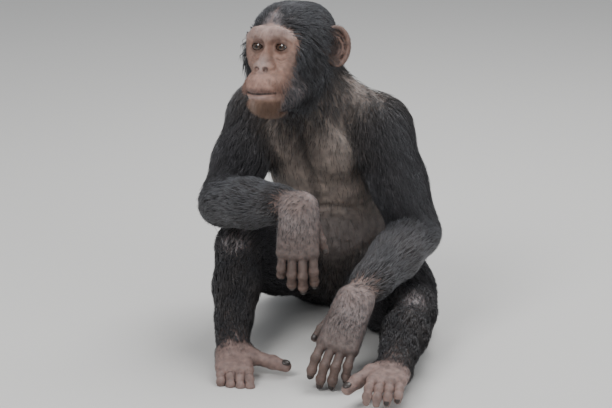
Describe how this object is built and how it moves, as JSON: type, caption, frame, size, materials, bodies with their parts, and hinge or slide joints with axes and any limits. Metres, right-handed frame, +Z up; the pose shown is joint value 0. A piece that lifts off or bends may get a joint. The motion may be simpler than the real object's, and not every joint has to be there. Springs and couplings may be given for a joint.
{
  "type": "chimpanzee",
  "caption": "Life-size young chimpanzee sitting with its forearms on its bent knees, hands hanging, head turned to its right; one still solid for display.",
  "frame": {"origin": "on the floor, in the middle of the flat that the rump rests on", "axes": "+Z up; the chimpanzee faces -Y; +X is towards its left side"},
  "size_m": [0.4479, 0.626, 0.561],
  "materials": {
    "coat": "black hair, slightly glossy",
    "thin_coat": "thin black hair over grey-brown skin",
    "face_and_coat": "black hair round a bare brown face",
    "ear_skin": "bare pinkish-brown skin",
    "hand_skin": "bare wrinkled grey-brown skin",
    "foot_skin": "bare wrinkled pinkish-brown skin",
    "eye": "wet dark brown"
  },
  "bodies": {
    "root": {"torso": "thin_coat", "neck": "coat", "head": "face_and_coat", "right_ear": "ear_skin", "right_eye": "eye", "right_upper_arm": "coat", "right_forearm": "coat", "right_hand": "hand_skin", "right_thumb": "hand_skin", "right_index_finger": "hand_skin", "right_middle_finger": "hand_skin", "right_ring_finger": "hand_skin", "right_little_finger": "hand_skin", "right_thigh": "coat", "right_shin": "coat", "right_foot": "foot_skin", "right_big_toe": "foot_skin", "right_second_toe": "foot_skin", "right_third_toe": "foot_skin", "right_fourth_toe": "foot_skin", "right_fifth_toe": "foot_skin", "left_ear": "ear_skin", "left_eye": "eye", "left_upper_arm": "coat", "left_forearm": "coat", "left_hand": "hand_skin", "left_thumb": "hand_skin", "left_index_finger": "hand_skin", "left_middle_finger": "hand_skin", "left_ring_finger": "hand_skin", "left_little_finger": "hand_skin", "left_thigh": "coat", "left_shin": "coat", "left_foot": "foot_skin", "left_big_toe": "foot_skin", "left_second_toe": "foot_skin", "left_third_toe": "foot_skin", "left_fourth_toe": "foot_skin", "left_fifth_toe": "foot_skin"}
  },
  "joints": []
}
